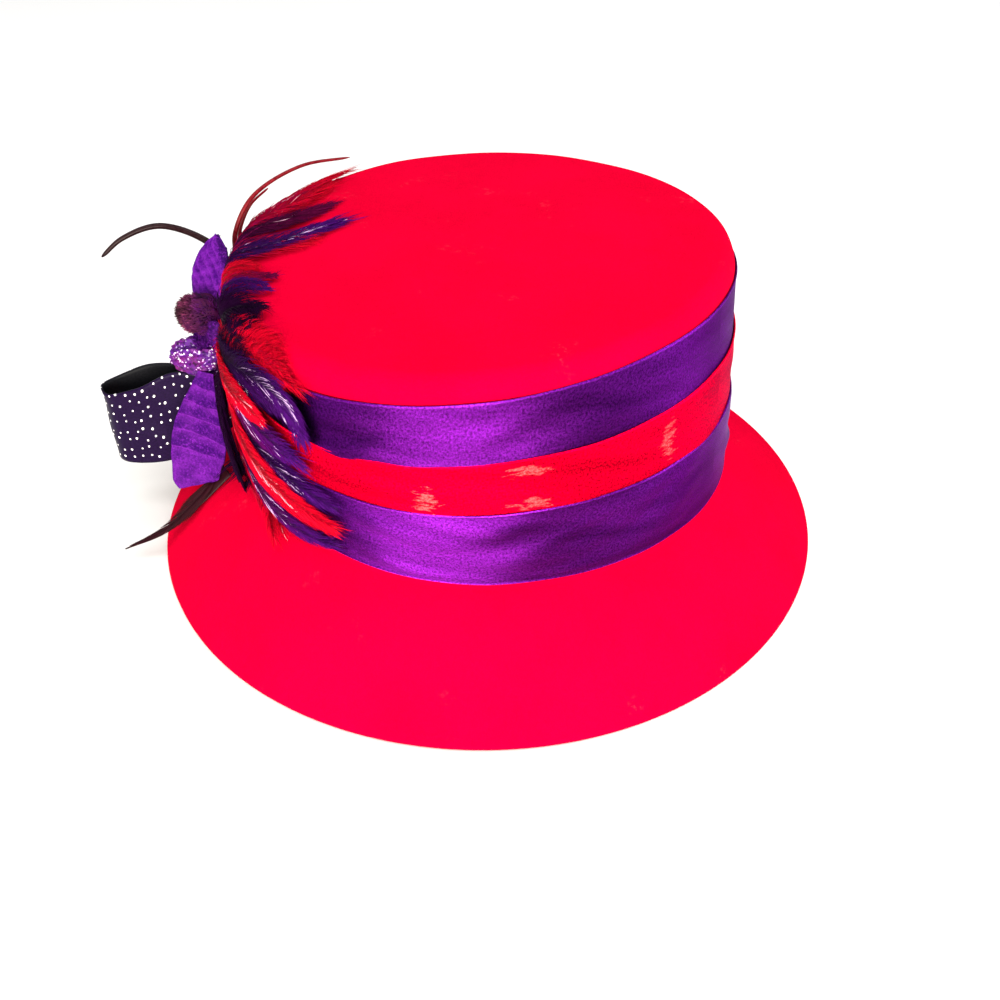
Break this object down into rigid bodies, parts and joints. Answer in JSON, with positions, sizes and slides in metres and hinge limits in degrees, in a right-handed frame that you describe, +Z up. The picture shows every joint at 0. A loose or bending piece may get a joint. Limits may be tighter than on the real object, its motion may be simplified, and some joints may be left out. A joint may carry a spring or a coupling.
{
  "type": "cloche hat",
  "caption": "Red felt cloche hat with a flat-topped crown and sloping brim, stacked satin ribbons and a side trim of feathers, violet petals and a dotted ribbon loop.",
  "frame": {"origin": "middle of the brim's rim, on the surface that the rim rests on", "axes": "+Z up through the crown, -Y to the wearer's front, -X to the wearer's right, where the trim is"},
  "size_m": [0.2665, 0.268, 0.1228],
  "materials": {
    "red_felt": "matte wool felt with a fine nap",
    "violet_satin": "satin ribbon with a soft lengthwise sheen",
    "red_satin": "satin ribbon with a soft lengthwise sheen",
    "hackle_feathers": "red and purple hackle feathers",
    "petal_cloth": "creased violet flower cloth",
    "mauve_fuzz": "fuzzy dark mauve pile",
    "glitter_mesh": "purple mesh with glitter",
    "dotted_satin": "dark satin ribbon with small white dots",
    "dark_quill": "smooth dark dyed quill",
    "red_quill": "smooth dark red dyed quill",
    "dark_feather": "dark red-brown feather"
  },
  "bodies": {
    "root": {"felt_body": "red_felt", "lower_ribbon": "violet_satin", "middle_ribbon": "red_satin", "upper_ribbon": "violet_satin", "feather_plume": "hackle_feathers", "upper_petal": "petal_cloth", "lower_petal": "petal_cloth", "rear_upper_petal": "petal_cloth", "rear_lower_petal": "petal_cloth", "flower_centre": "mauve_fuzz", "glitter_bunch": "glitter_mesh", "dotted_ribbon": "dotted_satin", "dark_quill": "dark_quill", "red_quill_long": "red_quill", "red_quill_short": "red_quill", "spike_feather": "dark_feather"}
  },
  "joints": []
}
